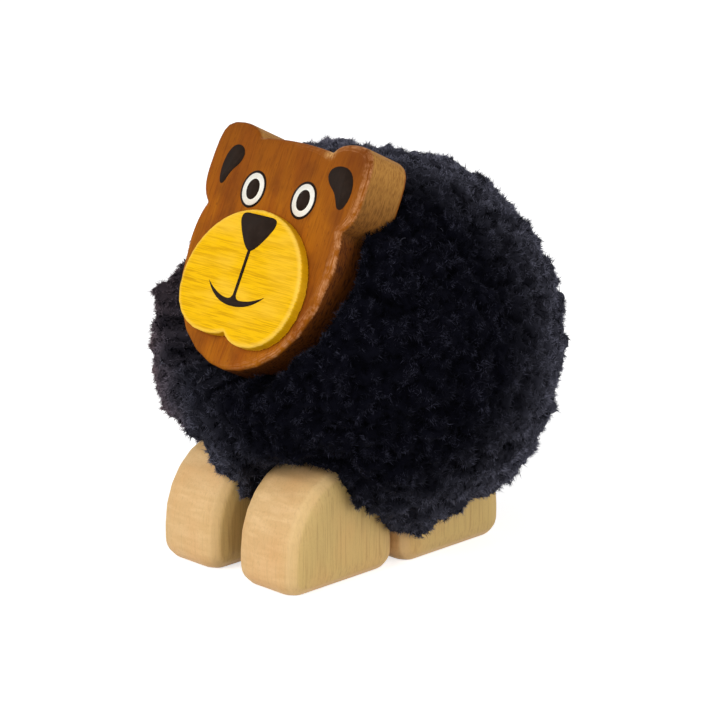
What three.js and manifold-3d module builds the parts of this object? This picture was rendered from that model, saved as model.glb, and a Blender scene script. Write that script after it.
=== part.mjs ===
// A standing bear ornament: a flat wooden head and four arched wooden feet on a ball of black pile.
// Millimetres. +Z is up, the bear looks along -Y, and +X is the bear's left.
// The origin is on the floor, under the middle of the bounding box.

import * as THREE from 'three';
import { mergeVertices } from 'three/addons/utils/BufferGeometryUtils.js';
import Module from 'manifold-3d';

const wasm = await Module();
wasm.setup();

// Fits
const glueGap = 0.3; // between glued pieces of wood, and under paint
const pileGap = 0.6; // between the pile and the wood that stands in it
const paintGap = 0.15; // between neighbouring painted areas
const paintFilm = 0.4; // thickness of a painted area

// Ball of pile
const coatWidth = 98;
const coatLength = 98;
const coatHeight = 92.6;
const coatFloorGap = 3.4; // the pile hangs this far above the floor
const pileDepth = 11.4; // from the core to the tips of the pile
const lumpsPerSide = 6; // of the twenty-sided ball that carries the soft lumps, about 9 mm apart
const lumpHeight = 3.2; // of the tallest lump above the deepest crease
const lumpDrift = 1.1; // how far a lump or crease may lie off its even place, each way

// Head board, drawn on its own face: across from the middle, and up from the face point
const headTilt = THREE.MathUtils.degToRad(26.5); // the face leans back
const faceForward = 35.8; // face point ahead of the ball's middle
const faceRise = 19.6; // face point above the ball's middle
const headThickness = 13.3;
const headEdge = 1.1; // radius of the sanded edge
const chinDrop = 20.6;
const chinFlat = 9;
const jawDrop = 13;
const cheekHalfWidth = 23.6;
const cheekRise = 7;
const cheekTop = 13;
const notchHalfWidth = 21.9; // notch between cheek and ear
const notchRise = 16;
const earHalfWidth = 25.3;
const earBase = 18.5;
const earSide = 24;
const earShoulder = 33;
const earTopHalfWidth = 19;
const earRise = 36.4;
const earInnerHalfWidth = 13.4;
const crownEdgeHalfWidth = 12; // where the ear meets the crown
const crownEdgeRise = 33.6;
const crownRise = 34.4;

// The pile is pressed back around the head
const collarMargin = 5.5;
const collarDepth = 9;

// And brushed back around the front of the left front foot
const partingRadius = 17.5;
const partingRise = 14; // height of its middle
const partingBack = 5; // from the front of the foot to its middle
const partingSide = 2; // from the middle of the foot to its middle, outwards

// Muzzle plate
const muzzleThickness = 2.8;
const muzzleEdge = 0.5;
const muzzleHalfWidth = 18.75;
const muzzleMiddle = -1.5; // height of its widest line
const muzzleRise = 16.7;
const leftLobeDrop = 14.9;
const rightLobeDrop = 13.7; // the cut is not quite even
const muzzleSide = 9.5;
const lobeOuter = 13.5;
const lobeMiddle = 6.5;
const lobeInner = 2;
const lobeNotch = 12.4;

// Painted marks
const eyeSpacing = 16.6;
const eyeRise = 21.3;
const eyeWidth = 6.5;
const eyeHeight = 7.8;
const eyeLine = 0.45; // width of the dark line around the eye
const pupilWidth = 3.9;
const pupilHeight = 5;
const earMarkSpacing = 35.4;
const earMarkRise = 26;
const leftMarkWidth = 8.5;
const rightMarkWidth = 5.9; // the marks are brushed on by hand and differ
const earMarkTop = 4.8; // from here on from the middle of the mark
const earMarkCrown = 0.6;
const earMarkShoulder = 3.6;
const earMarkOuter = 4.4;
const earMarkOuterDrop = 1.5;
const earMarkInner = 5.2;
const earMarkInnerRise = 2;
const earMarkWaist = 1.5;
const earMarkWaistDrop = 0.8;
const earMarkHollow = 0.3;
const earMarkHollowDrop = 1.8;
const earMarkTailDrop = 3.4;
const earMarkTipInner = 0.9;
const earMarkTipOuter = 2.6;
const earMarkTipDrop = 4.5;
const earMarkTipRound = 1;
const noseTop = 15.4;
const noseFlat = 3.6;
const noseCorner = 6.5;
const noseHalfWidth = 5.4;
const noseShoulder = 12.8;
const noseSide = 4.2;
const noseSideRise = 10.6;
const noseTip = 1.6;
const noseBottom = 6.8;
const mouthHalfWidth = 9.4;
const leftTipDrop = 2.7;
const rightTipDrop = 1.8; // the smile is not quite even
const smileDrop = 6.4;
const smileLower = 5.8; // the smile's lower edge is flat to about here
const smileUpper = 5.3; // and its upper edge to about here
const smileTop = 4.8;
const mouthLine = 0.9;
const mouthFillet = 1.6;

// Feet
const footWidth = 20.3;
const footLength = 34.9;
const footHeight = 28.2;
const footSide = 8; // height of the upright part below the arch
const footEdge = 5; // radius of the sanded edge
const soleEdge = 4.4; // how much of that radius is left at the sole
const footCornerSpare = 0.3; // the arch's lower corners are this much rounder than the edge
const footGap = 0.5; // between a front foot and the rear foot behind it
const footFront = 44.9; // front of the front feet ahead of the ball's middle
const frontFootSpacing = 26.2;
const rearFootSpacing = 28.8;

// Dowels
const legDowelDiameter = 6;
const legDowelInFoot = 12;
const legDowelInCore = 12;
const frontDowelBack = 5; // behind the middle of a front foot
const neckDowelDiameter = 8;
const neckDowelInHead = 9;
const neckDowelInCore = 14;

// Fineness of the meshes
const ballSegments = 36;
const partingSegments = 20;
const dowelSides = 16;
const curveSteps = 6;
const markSteps = 12; // on the painted marks
const edgeSteps = 3;

// Colours
const stainedWood = new THREE.MeshStandardMaterial({ color: 0xa85f1e, roughness: 0.5, metalness: 0 });
const yellowWood = new THREE.MeshStandardMaterial({ color: 0xf6c328, roughness: 0.5, metalness: 0 });
const paleWood = new THREE.MeshStandardMaterial({ color: 0xdbb683, roughness: 0.6, metalness: 0 });
const coreWood = new THREE.MeshStandardMaterial({ color: 0xc9a877, roughness: 0.8, metalness: 0 });
const blackPile = new THREE.MeshStandardMaterial({ color: 0x17171c, roughness: 1, metalness: 0 });
const darkPaint = new THREE.MeshStandardMaterial({ color: 0x2a211c, roughness: 0.5, metalness: 0 });
const whitePaint = new THREE.MeshStandardMaterial({ color: 0xfffaf0, roughness: 0.5, metalness: 0 });

// Geometry whose faces share their corners
function joined(geometry) {
  const bare = geometry.clone();
  bare.deleteAttribute('normal');
  bare.deleteAttribute('uv');
  return mergeVertices(bare);
}

// Closed geometry to a solid that can be cut
function solidOf(geometry) {
  const merged = joined(geometry);
  const vertProperties = new Float32Array(merged.getAttribute('position').array);
  const triVerts = new Uint32Array(merged.getIndex().array);
  return new wasm.Manifold(new wasm.Mesh({ numProp: 3, vertProperties, triVerts }));
}

// A cut solid back to geometry
function geometryOf(solid) {
  const { vertProperties, triVerts } = solid.getMesh();
  const geometry = new THREE.BufferGeometry();
  geometry.setAttribute('position', new THREE.BufferAttribute(vertProperties, 3));
  geometry.setIndex(new THREE.BufferAttribute(triVerts, 1));
  return geometry;
}

function cut(geometry, cutters) {
  const solid = cutters.reduce((rest, cutter) => rest.subtract(solidOf(cutter)), solidOf(geometry));
  return geometryOf(solid);
}

function named(name, geometry, material) {
  const mesh = new THREE.Mesh(geometry, material);
  mesh.name = name;
  return mesh;
}

// Half an outline, from bottom to top, and the mirror image of the same or another half
function mirrored(half, steps = curveSteps, other = half) {
  const points = half.getPoints(steps);
  const mirror = other.getPoints(steps).slice(1, -1).map((point) => new THREE.Vector2(-point.x, point.y));
  return new THREE.Shape([...points, ...mirror.reverse()]);
}

// A plate drawn on the face: its front at y = 0, its back at y = thickness
function plate(outline, thickness, edge = 0, grow = 0, steps = curveSteps, rounding = edgeSteps) {
  const geometry = new THREE.ExtrudeGeometry(outline, {
    depth: thickness - 2 * edge,
    curveSegments: steps,
    bevelEnabled: edge > 0,
    bevelThickness: edge,
    bevelSize: edge,
    bevelOffset: grow - edge,
    bevelSegments: rounding,
  });
  geometry.translate(0, 0, edge - thickness);
  geometry.rotateX(Math.PI / 2);
  return geometry;
}

function ellipsoid(width, length, height) {
  const geometry = new THREE.SphereGeometry(0.5, ballSegments, ballSegments / 2);
  geometry.rotateX(Math.PI / 2);
  geometry.scale(width, length, height);
  return geometry;
}

// A share from 0 to 1 that is fixed for each index and spread evenly over them
function share(index, turn = 1) {
  const golden = (Math.sqrt(5) - 1) / 2;
  return (index * golden ** turn) % 1;
}

function cornersOf(geometry) {
  const corners = geometry.getAttribute('position');
  const corner = (_, index) => new THREE.Vector3().fromBufferAttribute(corners, index);
  return Array.from({ length: corners.count }, corner);
}

// The ball that the tips of the pile make: every second corner is the top of a lump, the rest lie in creases
function lumpyBall() {
  const tops = cornersOf(joined(new THREE.IcosahedronGeometry(1, lumpsPerSide - 1)));
  const geometry = joined(new THREE.IcosahedronGeometry(1, 2 * lumpsPerSide - 1));
  const spacing = 1 / (2 * lumpsPerSide);
  const radius = coatWidth / 2;
  cornersOf(geometry).forEach((corner, index) => {
    const isTop = tops.some((top) => top.distanceTo(corner) < spacing / 2);
    const drop = lumpHeight / 2 * (share(index) + (isTop ? 0 : 1));
    const drift = new THREE.Vector3(share(index, 2), share(index, 3), share(index, 4)).subScalar(0.5);
    corner.addScaledVector(drift, 2 * lumpDrift / radius).setLength(1 - drop / radius);
    geometry.getAttribute('position').setXYZ(index, corner.x, corner.y, corner.z);
  });
  geometry.center();
  const size = geometry.boundingBox.getSize(new THREE.Vector3());
  return geometry.scale(coatWidth / size.x, coatLength / size.y, coatHeight / size.z);
}

function headOutline() {
  const half = new THREE.Path();
  half.moveTo(0, -chinDrop);
  half.bezierCurveTo(chinFlat, -chinDrop, cheekHalfWidth, -jawDrop, cheekHalfWidth, cheekRise);
  half.quadraticCurveTo(cheekHalfWidth, cheekTop, notchHalfWidth, notchRise);
  half.quadraticCurveTo(earHalfWidth, earBase, earHalfWidth, earSide);
  half.bezierCurveTo(earHalfWidth, earShoulder, earHalfWidth, earRise, earTopHalfWidth, earRise);
  half.quadraticCurveTo(earInnerHalfWidth, earRise, crownEdgeHalfWidth, crownEdgeRise);
  half.quadraticCurveTo(crownEdgeHalfWidth / 2, crownRise, 0, crownRise);
  return mirrored(half);
}

function muzzleHalf(lobeDrop) {
  const half = new THREE.Path();
  half.moveTo(0, -lobeNotch);
  half.quadraticCurveTo(lobeInner, -lobeDrop, lobeMiddle, -lobeDrop);
  half.bezierCurveTo(lobeOuter, -lobeDrop, muzzleHalfWidth, -muzzleSide, muzzleHalfWidth, muzzleMiddle);
  half.absellipse(0, muzzleMiddle, muzzleHalfWidth, muzzleRise - muzzleMiddle, 0, Math.PI / 2);
  return half;
}

function muzzleOutline() {
  return mirrored(muzzleHalf(leftLobeDrop), curveSteps, muzzleHalf(rightLobeDrop));
}

function oval(x, rise, width, height) {
  const outline = new THREE.Shape();
  outline.absellipse(x, rise, width / 2, height / 2, 0, 2 * Math.PI);
  return outline;
}

function ovalRing(x, rise, width, height, innerWidth, innerHeight) {
  const ring = oval(x, rise, width, height);
  ring.holes.push(oval(x, rise, innerWidth, innerHeight));
  return ring;
}

// A drop with a round head, a hollow inner edge and a blunt tip to the outer side
function earMarkOutline(side, width) {
  const drop = new THREE.Path();
  const tipMiddle = (earMarkTipInner + earMarkTipOuter) / 2;
  drop.moveTo(earMarkTipOuter, -earMarkTipDrop);
  drop.bezierCurveTo(earMarkOuter, -earMarkOuterDrop, earMarkShoulder, earMarkTop, -earMarkCrown, earMarkTop);
  drop.bezierCurveTo(
    -earMarkShoulder, earMarkTop, -earMarkInner, earMarkInnerRise, -earMarkWaist, -earMarkWaistDrop,
  );
  drop.bezierCurveTo(
    -earMarkHollow, -earMarkHollowDrop, earMarkHollow, -earMarkTailDrop, earMarkTipInner, -earMarkTipDrop,
  );
  drop.quadraticCurveTo(tipMiddle, -earMarkTipDrop - earMarkTipRound, earMarkTipOuter, -earMarkTipDrop);
  const points = drop.getPoints(markSteps).slice(1);
  const drawn = new THREE.Box2().setFromPoints(points).getSize(new THREE.Vector2());
  const stretch = width / drawn.x;
  const place = (point) => new THREE.Vector2(
    side * (earMarkSpacing / 2 + stretch * point.x), earMarkRise + point.y,
  );
  return new THREE.Shape(points.map(place));
}

// A rounded triangle with its tip down
function noseOutline() {
  const half = new THREE.Path();
  half.moveTo(0, noseBottom);
  half.bezierCurveTo(noseTip, noseBottom, noseSide, noseSideRise, noseHalfWidth, noseShoulder);
  half.quadraticCurveTo(noseCorner, noseTop, noseFlat, noseTop);
  half.lineTo(0, noseTop);
  return mirrored(half, markSteps);
}

// Half of a smile that is thick in the middle, and of the line that joins it to the nose
function mouthHalf(tipDrop) {
  const line = mouthLine / 2;
  const half = new THREE.Path();
  half.moveTo(0, -smileDrop);
  half.quadraticCurveTo(smileLower, -smileDrop, mouthHalfWidth, -tipDrop);
  half.quadraticCurveTo(smileUpper, -smileTop, line + mouthFillet, -smileTop);
  half.quadraticCurveTo(line, -smileTop, line, mouthFillet - smileTop);
  half.lineTo(line, noseBottom - paintGap);
  half.lineTo(0, noseBottom - paintGap);
  return half;
}

function mouthOutline() {
  return mirrored(mouthHalf(leftTipDrop), markSteps, mouthHalf(rightTipDrop));
}

// Arch seen from the side, with its rounded sole edge reaching below the floor before it is cut flat
function footProfile() {
  const l = footLength / 2;
  const corner = footEdge + footCornerSpare;
  const bottom = soleEdge - footEdge;
  const profile = new THREE.Shape();
  profile.moveTo(corner - l, bottom);
  profile.lineTo(l - corner, bottom);
  profile.absarc(l - corner, bottom + corner, corner, -Math.PI / 2, 0);
  profile.absellipse(0, footSide, l, footHeight - footSide, 0, Math.PI);
  profile.absarc(corner - l, bottom + corner, corner, Math.PI, 1.5 * Math.PI);
  return profile;
}

// A foot around its own middle, standing on z = 0, or grown to cut room for itself
function footGeometry(grow = 0) {
  const geometry = new THREE.ExtrudeGeometry(footProfile(), {
    depth: footWidth - 2 * footEdge,
    curveSegments: curveSteps,
    bevelThickness: footEdge + grow,
    bevelSize: footEdge,
    bevelOffset: grow - footEdge,
    bevelSegments: edgeSteps,
  });
  geometry.translate(0, 0, footEdge - footWidth / 2);
  const along = new THREE.Vector3(0, 1, 0);
  const up = new THREE.Vector3(0, 0, 1);
  const across = new THREE.Vector3(1, 0, 0);
  geometry.applyMatrix4(new THREE.Matrix4().makeBasis(along, up, across));
  return geometry;
}

// Longer than the whole bear, for cutters that must clear it
const reach = coatLength + coatWidth + coatHeight;

const ball = new THREE.Vector3(0, 0, coatFloorGap + coatHeight / 2);

const head = new THREE.Group();
head.position.set(0, -faceForward, ball.z + faceRise);
head.rotation.x = -headTilt;
head.updateMatrix();

// The ball's middle as the head sees it: how far behind the face, and how far up it
const ballFromFace = ball.clone().applyMatrix4(head.matrix.clone().invert());

function fromHead(geometry) {
  return geometry.applyMatrix4(head.matrix);
}

function coatGeometry() {
  return lumpyBall().translate(ball.x, ball.y, ball.z);
}

const coreWidth = coatWidth - 2 * pileDepth;
const coreLength = coatLength - 2 * pileDepth;
const coreHeight = coatHeight - 2 * pileDepth;

function coreGeometry(grow = 0) {
  const geometry = ellipsoid(coreWidth + 2 * grow, coreLength + 2 * grow, coreHeight + 2 * grow);
  return geometry.translate(ball.x, ball.y, ball.z);
}

// Underside of the core above a point of the floor
function coreUnderside(x, y) {
  const inside = 1 - (2 * x / coreWidth) ** 2 - (2 * y / coreLength) ** 2;
  return ball.z - coreHeight / 2 * Math.sqrt(Math.max(0, inside));
}

// Top of a foot's arch, this far along from its middle
function archTop(along) {
  return footSide + (footHeight - footSide) * Math.sqrt(1 - (2 * along / footLength) ** 2);
}

function neckDowel(grow = 0) {
  const length = neckDowelInHead + glueGap + neckDowelInCore;
  const radius = neckDowelDiameter / 2 + grow;
  const geometry = new THREE.CylinderGeometry(radius, radius, length + 2 * grow, dowelSides);
  return geometry.translate(0, headThickness - neckDowelInHead + length / 2, ballFromFace.z);
}

// The dowel of a foot, placed in the ball's frame
function legDowel(foot, grow = 0) {
  const y = foot.y + foot.dowelBack;
  const bottom = archTop(foot.dowelBack) - legDowelInFoot;
  const top = Math.max(archTop(foot.dowelBack), coreUnderside(foot.x, y)) + legDowelInCore;
  const radius = legDowelDiameter / 2 + grow;
  const geometry = new THREE.CylinderGeometry(radius, radius, top - bottom + 2 * grow, dowelSides);
  geometry.rotateX(Math.PI / 2);
  return geometry.translate(foot.x, y, (top + bottom) / 2);
}

const frontFootY = footLength / 2 - footFront;
const rearFootY = frontFootY + footLength + footGap;
const feet = [];
for (const [side, sign] of [['left', 1], ['right', -1]]) {
  const frontX = sign * frontFootSpacing / 2;
  const rearX = sign * rearFootSpacing / 2;
  feet.push({ name: `front_${side}`, x: frontX, y: frontFootY, dowelBack: frontDowelBack });
  feet.push({ name: `rear_${side}`, x: rearX, y: rearFootY, dowelBack: 0 });
}

const bear = new THREE.Group();
bear.add(head);

// Feet, each cut flat at the floor and bored for its dowel
const floor = new THREE.BoxGeometry(reach, reach, reach).translate(0, 0, -reach / 2);
for (const foot of feet) {
  const bore = legDowel(foot, glueGap).translate(-foot.x, -foot.y, 0);
  const mesh = named(`foot_${foot.name}`, cut(footGeometry(), [floor, bore]), paleWood);
  mesh.position.set(foot.x, foot.y, 0);
  bear.add(mesh);
  bear.add(named(`leg_dowel_${foot.name}`, legDowel(foot), coreWood));
}

// Room that the feet and their dowels take out of what is around them
function footRoom(gap) {
  return feet.flatMap((foot) => [footGeometry(gap).translate(foot.x, foot.y, 0), legDowel(foot, gap)]);
}

// Core, with a flat seat behind the head and pockets over the feet
const headSeat = new THREE.BoxGeometry(reach, reach, reach);
headSeat.translate(0, headThickness + glueGap - reach / 2, 0);
const coreCutters = [fromHead(headSeat), fromHead(neckDowel(glueGap)), ...footRoom(glueGap)];
bear.add(named('body_core', cut(coreGeometry(), coreCutters), coreWood));

// Coat of pile around the core, open for the head and the feet, with its collar and its parting
const headRoom = plate(headOutline(), reach, pileGap, pileGap);
headRoom.translate(0, headThickness + pileGap - reach, 0);
const faceOval = oval(0, (crownRise - chinDrop) / 2, 2 * cheekHalfWidth, chinDrop + crownRise);
const collar = plate(faceOval, reach, collarMargin, collarMargin, curveSteps, 1);
collar.translate(0, collarDepth - reach, 0);
const parting = new THREE.SphereGeometry(partingRadius, partingSegments, partingSegments / 2);
parting.translate(frontFootSpacing / 2 + partingSide, partingBack - footFront, partingRise);
const headCutters = [fromHead(headRoom), fromHead(collar)];
const coatCutters = [coreGeometry(pileGap), ...headCutters, parting, ...footRoom(pileGap)];
bear.add(named('pile_coat', cut(coatGeometry(), coatCutters), blackPile));

// Head
const headBlank = plate(headOutline(), headThickness, headEdge);
head.add(named('head_board', cut(headBlank, [neckDowel(glueGap)]), stainedWood));
head.add(named('neck_dowel', neckDowel(), coreWood));

// Muzzle plate, rounded at the front and cut flat at the back
const muzzleBack = -glueGap;
const muzzleFront = muzzleBack - muzzleThickness;
const behindMuzzle = new THREE.BoxGeometry(reach, reach, reach).translate(0, muzzleBack + reach / 2, 0);
const muzzleBlank = plate(muzzleOutline(), muzzleThickness + muzzleEdge, muzzleEdge);
muzzleBlank.translate(0, muzzleFront, 0);
head.add(named('muzzle_plate', cut(muzzleBlank, [behindMuzzle]), yellowWood));

// Painted marks lie in front of the surface that carries them
function painted(name, outline, surface, material) {
  const film = plate(outline, paintFilm, 0, 0, markSteps).translate(0, surface - glueGap - paintFilm, 0);
  head.add(named(name, film, material));
}

for (const [side, sign, markWidth] of [['left', 1, leftMarkWidth], ['right', -1, rightMarkWidth]]) {
  const x = sign * eyeSpacing / 2;
  const gap = 2 * paintGap;
  const ring = gap + 2 * eyeLine;
  const outline = ovalRing(x, eyeRise, eyeWidth + ring, eyeHeight + ring, eyeWidth + gap, eyeHeight + gap);
  const white = ovalRing(x, eyeRise, eyeWidth, eyeHeight, pupilWidth + gap, pupilHeight + gap);
  painted(`eye_outline_${side}`, outline, 0, darkPaint);
  painted(`eye_white_${side}`, white, 0, whitePaint);
  painted(`eye_pupil_${side}`, oval(x, eyeRise, pupilWidth, pupilHeight), 0, darkPaint);
  painted(`ear_mark_${side}`, earMarkOutline(sign, markWidth), 0, darkPaint);
}
painted('nose', noseOutline(), muzzleFront, darkPaint);
painted('mouth', mouthOutline(), muzzleFront, darkPaint);

// Origin under the middle of the bounding box
const middle = new THREE.Box3().setFromObject(bear).getCenter(new THREE.Vector3());
bear.position.set(-middle.x, -middle.y, 0);

export default bear;
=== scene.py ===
import math
import random

import bmesh
import bpy
from bpy.props import FloatProperty, FloatVectorProperty, PointerProperty
from mathutils import Matrix, Quaternion, Vector, noise
from mathutils.bvhtree import BVHTree
from mathutils.kdtree import KDTree


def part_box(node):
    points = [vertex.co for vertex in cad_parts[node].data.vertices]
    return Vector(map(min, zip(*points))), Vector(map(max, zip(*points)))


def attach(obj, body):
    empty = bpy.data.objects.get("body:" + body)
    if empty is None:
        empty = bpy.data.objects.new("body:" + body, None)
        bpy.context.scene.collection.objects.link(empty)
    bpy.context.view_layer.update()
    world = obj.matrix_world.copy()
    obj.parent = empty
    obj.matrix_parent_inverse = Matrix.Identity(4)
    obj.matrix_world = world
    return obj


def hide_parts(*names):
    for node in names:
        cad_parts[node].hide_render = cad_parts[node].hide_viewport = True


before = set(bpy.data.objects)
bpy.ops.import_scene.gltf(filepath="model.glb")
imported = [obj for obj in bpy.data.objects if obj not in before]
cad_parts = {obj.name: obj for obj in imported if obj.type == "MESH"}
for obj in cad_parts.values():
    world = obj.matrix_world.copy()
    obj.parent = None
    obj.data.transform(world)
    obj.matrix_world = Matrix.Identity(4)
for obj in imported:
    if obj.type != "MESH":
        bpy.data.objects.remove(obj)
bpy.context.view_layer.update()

bl_info = {
    "name": "Bear Ornament",
    "version": (1, 0, 0),
    "blender": (4, 5, 0),
    "location": "View3D > Sidebar > Bear",
    "description": "Dresses the packed bear: sanded wood, painted face and a coat of yarn pile",
    "category": "Object",
}

MM = 0.001
BODY = "root"
FEET = ["foot_front_left", "foot_front_right", "foot_rear_left", "foot_rear_right"]
INNER_WOOD = ["body_core", "neck_dowel"] + [name.replace("foot", "leg_dowel") for name in FEET]
FACE_MARKS = ["ear_mark_left", "ear_mark_right", "nose", "mouth"]
GOLDEN_ANGLE = math.pi * (3 - math.sqrt(5))
WHITE = (1.0, 1.0, 1.0, 1.0)
PAPER = (0.6, 0.6, 0.6, 1.0)  # the floor's share of the light that it gives back
SEAM = 0.002 * MM  # corners of a mesh that are closer than this are one
WOOD_REACH = 20 * MM  # how far from a spot the nearest wood is looked for
PAINT_GAP = 0.01 * MM  # under a film of paint, so that no two faces share a place
# Seeds, so that the pile comes out the same each run
NOISE_SEED = 5
FLEECE_SEED = 7
LINT_SEED = 11
# How the pile is laid
GROUND_CELLS = 126  # squares along each side of the cube that is blown up into the ground
CREASE = 0.4  # share of a clump's height that lies below the coat's surface
TUFT_TONES = 32  # kinds of tuft, from black ones to ones with the lightest painted highlight on their ends
LINT_KINDS = 12  # shapes of loose fibre
LINT_SPIN = 3.14  # the most that one is turned either way, in radians
TUFT_ROOT = 0.3 * MM  # how deep a lock is set into the ground
LOCK_LEAN = (35, 85)  # degrees, least and most
HIGHLIGHT_CONTRAST = 3.0  # how fast the tufts' painted highlight grows towards the top of a clump
HIGHLIGHT_START = 1.1  # the larger, the less of a clump carries the painted highlight
COMBING = 8.0  # how far the lie of the locks swings from clump to clump, in radians
RUFFLE = 0.9  # how far the tufts tip away from straight out
# Marks on the wood of the face, and the painted shade on its jaw
RIM_DEPTH = 2 * MM  # how far behind the front its rim is looked for
JAW_SHADE_TOP = 24 * MM  # height up the face where the painted shade on the sides begins
JAW_SHADE_FADE = 18 * MM  # from there down to where the painted shade is darkest
BARE_REACH = 2.2 * MM  # around an inner corner of an ear
# Where handling has pushed the pile in, or has left a bulge where the depth is below zero:
# place, reach and depth in millimetres
PRESSES = [
    ((-34, -25, 72), 17, 8.0),  # beside the right cheek
    ((-35, -35, 53), 8, 2.0),  # right of the chin
    ((-36, -36, 38), 7, -1.6),  # right breast
    ((-29, -29, 24), 8, 2.6),  # outside the front right foot
    ((-18, -38, 26), 14, 5.0),  # over the front right foot
    ((26, -36, 28), 12, 3.5),  # over the front left foot
    ((-3, 14, 94), 18, 2.8),  # behind the left ear
    ((-7, 10, 96), 7, 1.2),  # behind the brow
    ((-15, 4, 95), 4, -1.8),  # a clump that stands up between the ears
    ((25, -8, 10), 14, -2.5),  # between the left feet
    ((33, 21, 21), 20, -1.5),  # left hip
]
# Inner corners of the ears, rubbed to bare wood, in millimetres
BARE_CORNERS = [(-10.8, -20.3, 100.7), (11.7, -21.1, 99.3)]


def linear(code):
    """A colour written as sRGB hex, as the linear red, green, blue and alpha that shaders take."""
    shares = [int(code[i:i + 2], 16) / 255 for i in (1, 3, 5)]
    return [s / 12.92 if s <= 0.04045 else ((s + 0.055) / 1.055) ** 2.4 for s in shares] + [1.0]


def length(name, description, millimetres):
    """A property that holds a length, given in millimetres."""
    return FloatProperty(name=name, description=description, default=millimetres * MM,
                         min=0.0, precision=5, unit="LENGTH")


def colour(name, description, code):
    """A property that holds a colour, given as sRGB hex."""
    return FloatVectorProperty(name=name, description=description, default=linear(code),
                               min=0.0, max=1.0, size=4, subtype="COLOR")


class BearSizes(bpy.types.PropertyGroup):
    """Sizes that a user would change."""

    board_grid: length("Board Grid", "Mesh spacing on the head board", 0.4)
    plate_grid: length("Plate Grid", "Mesh spacing on the muzzle plate", 0.35)
    foot_grid: length("Foot Grid", "Mesh spacing on the feet", 0.5)
    worn_edge: length("Worn Edge", "How far the rubbed lines reach in from an edge", 3.0)
    glue_line: length("Glue Line", "Gap behind the muzzle plate that the glue fills", 0.3)
    paint_film: length("Paint Film", "Thickness of one layer of paint", 0.06)
    hollow: length("Hollow", "Radius of the room that the pile leaves behind the head", 30.0)
    lump_size: length("Lump Size", "Width of one soft clump of pile", 3.4)
    lump_height: length("Lump Height", "How far a clump stands above the creases around it", 3.2)
    nub_size: length("Nub Size", "Width of one small curl of pile", 1.6)
    # Locks of many fibres: single wool fibres, about 0.03 mm thick, would be too fine to show
    fibre_width: length("Fibre Width", "Thickness of a lock of fibres at its root", 0.24)
    fibre_length: length("Fibre Length", "Length of a lock of fibres", 1.5)
    tuft_spread: length("Tuft Spread", "Radius of the patch that one tuft grows from", 0.6)
    tuft_density: FloatProperty(name="Tuft Density", description="Tufts of fibres on each square metre",
                                default=1.05e6, min=1.0)
    lint_width: length("Lint Width", "Thickness of a loose fibre on the pile", 0.12)
    lint_length: length("Lint Length", "Length of a loose fibre along its curl", 3.0)
    lint_density: FloatProperty(name="Lint Density", description="Loose fibres on each square metre",
                                default=1500.0, min=1.0)
    head_tilt: FloatProperty(name="Head Tilt", description="How far the face leans back",
                             default=math.radians(26.5), subtype="ANGLE")


class BearColours(bpy.types.PropertyGroup):
    """Colours that a user would change."""

    stain: colour("Stain", "Brown wood stain on the head", "#99510F")
    stain_dark: colour("Dark Stain", "Streaks where the stain soaked in", "#6C3510")
    stain_light: colour("Light Stain", "Harder bands that took less stain", "#AC6411")
    stain_side: colour("Side Stain", "Sawn sides of the ears, dull and paler", "#B4813F")
    # Painted shade: the jaw sides are dark where the pile shades them
    jaw_shade: colour("Jaw Shade", "Sides of the jaw, dark where the pile rubs", "#6A3812")
    rubbed_wood: colour("Rubbed Wood", "Stain rubbed thin along the edges", "#BE8456")
    bare_wood: colour("Bare Wood", "Wood with the stain rubbed off", "#D9A768")
    yellow: colour("Yellow", "Yellow stain on the muzzle", "#F5BE0A")
    yellow_dark: colour("Dark Yellow", "Grain lines under the yellow stain", "#C99206")
    yellow_rim: colour("Yellow Rim", "Rubbed rim of the muzzle", "#FCCE58")
    foot_wood: colour("Foot Wood", "Pale sanded wood of the feet", "#DBB37C")
    foot_side: colour("Foot Side", "Sides of the feet, cut along the grain", "#CDAE6E")
    # Both the pale figured bands of the wood and a painted highlight along the rounded corners
    foot_figure_and_highlight: colour("Light Foot Wood", "Figured bands and rounded corners of the feet", "#EDC994")
    foot_flush: colour("Foot Flush", "Warmer patches on the feet", "#DDA66A")
    foot_grain: colour("Foot Grain", "Grain lines on the feet", "#B08A55")
    core: colour("Core", "Plain softwood inside the ball", "#C9A777")
    dark_paint: colour("Dark Paint", "Nearly black brown of the marks", "#271D17")
    white_paint: colour("White Paint", "White of the eyes", "#FFFCF0")
    white_thin: colour("Thin White Paint", "White paint where the brush left less", "#EFE6D6")
    dark_thin: colour("Thin Dark Paint", "Dark paint where the brush left less", "#3A2C25")
    # Painted shade: the near-black of the yarn deep in the pile and in its creases
    deep_pile_shade: colour("Pile Root", "Yarn deep in the pile", "#010105")
    pile: colour("Pile", "Black yarn", "#080811")
    pile_end_highlight: colour("Pile Tip", "Dusty ends of the fibres", "#464656")
    # Painted highlight: the grey of the fibre ends towards the tops of clumps
    pile_fuzz: colour("Pile Fuzz", "Loose fuzz that lightens the rim of the ball", "#A0A0B4")
    # Painted light: a warm, browner tint on the pile on the bear's right, on its fibre ends and its fuzz
    warm_light_on_tips: colour("Warm Lit Pile", "Fibre ends on the bear's right, where the dye has browned", "#3A2A2B")
    warm_light_on_fuzz: colour("Warm Pile Fuzz", "The same fuzz on the bear's right, a little rusty", "#AE9498")
    lint: colour("Lint", "Loose pale fibres caught in the pile", "#5A5A62")


def add_node(tree, kind, settings=None, inputs=None):
    """Adds a shader node, with its settings, and with its inputs as values or links."""
    node = tree.nodes.new("ShaderNode" + kind)
    for name, value in (settings or {}).items():
        setattr(node, name, value)
    for key, value in (inputs or {}).items():
        if isinstance(value, bpy.types.NodeSocket):
            tree.links.new(value, node.inputs[key])
        else:
            node.inputs[key].default_value = value
    return node


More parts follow.
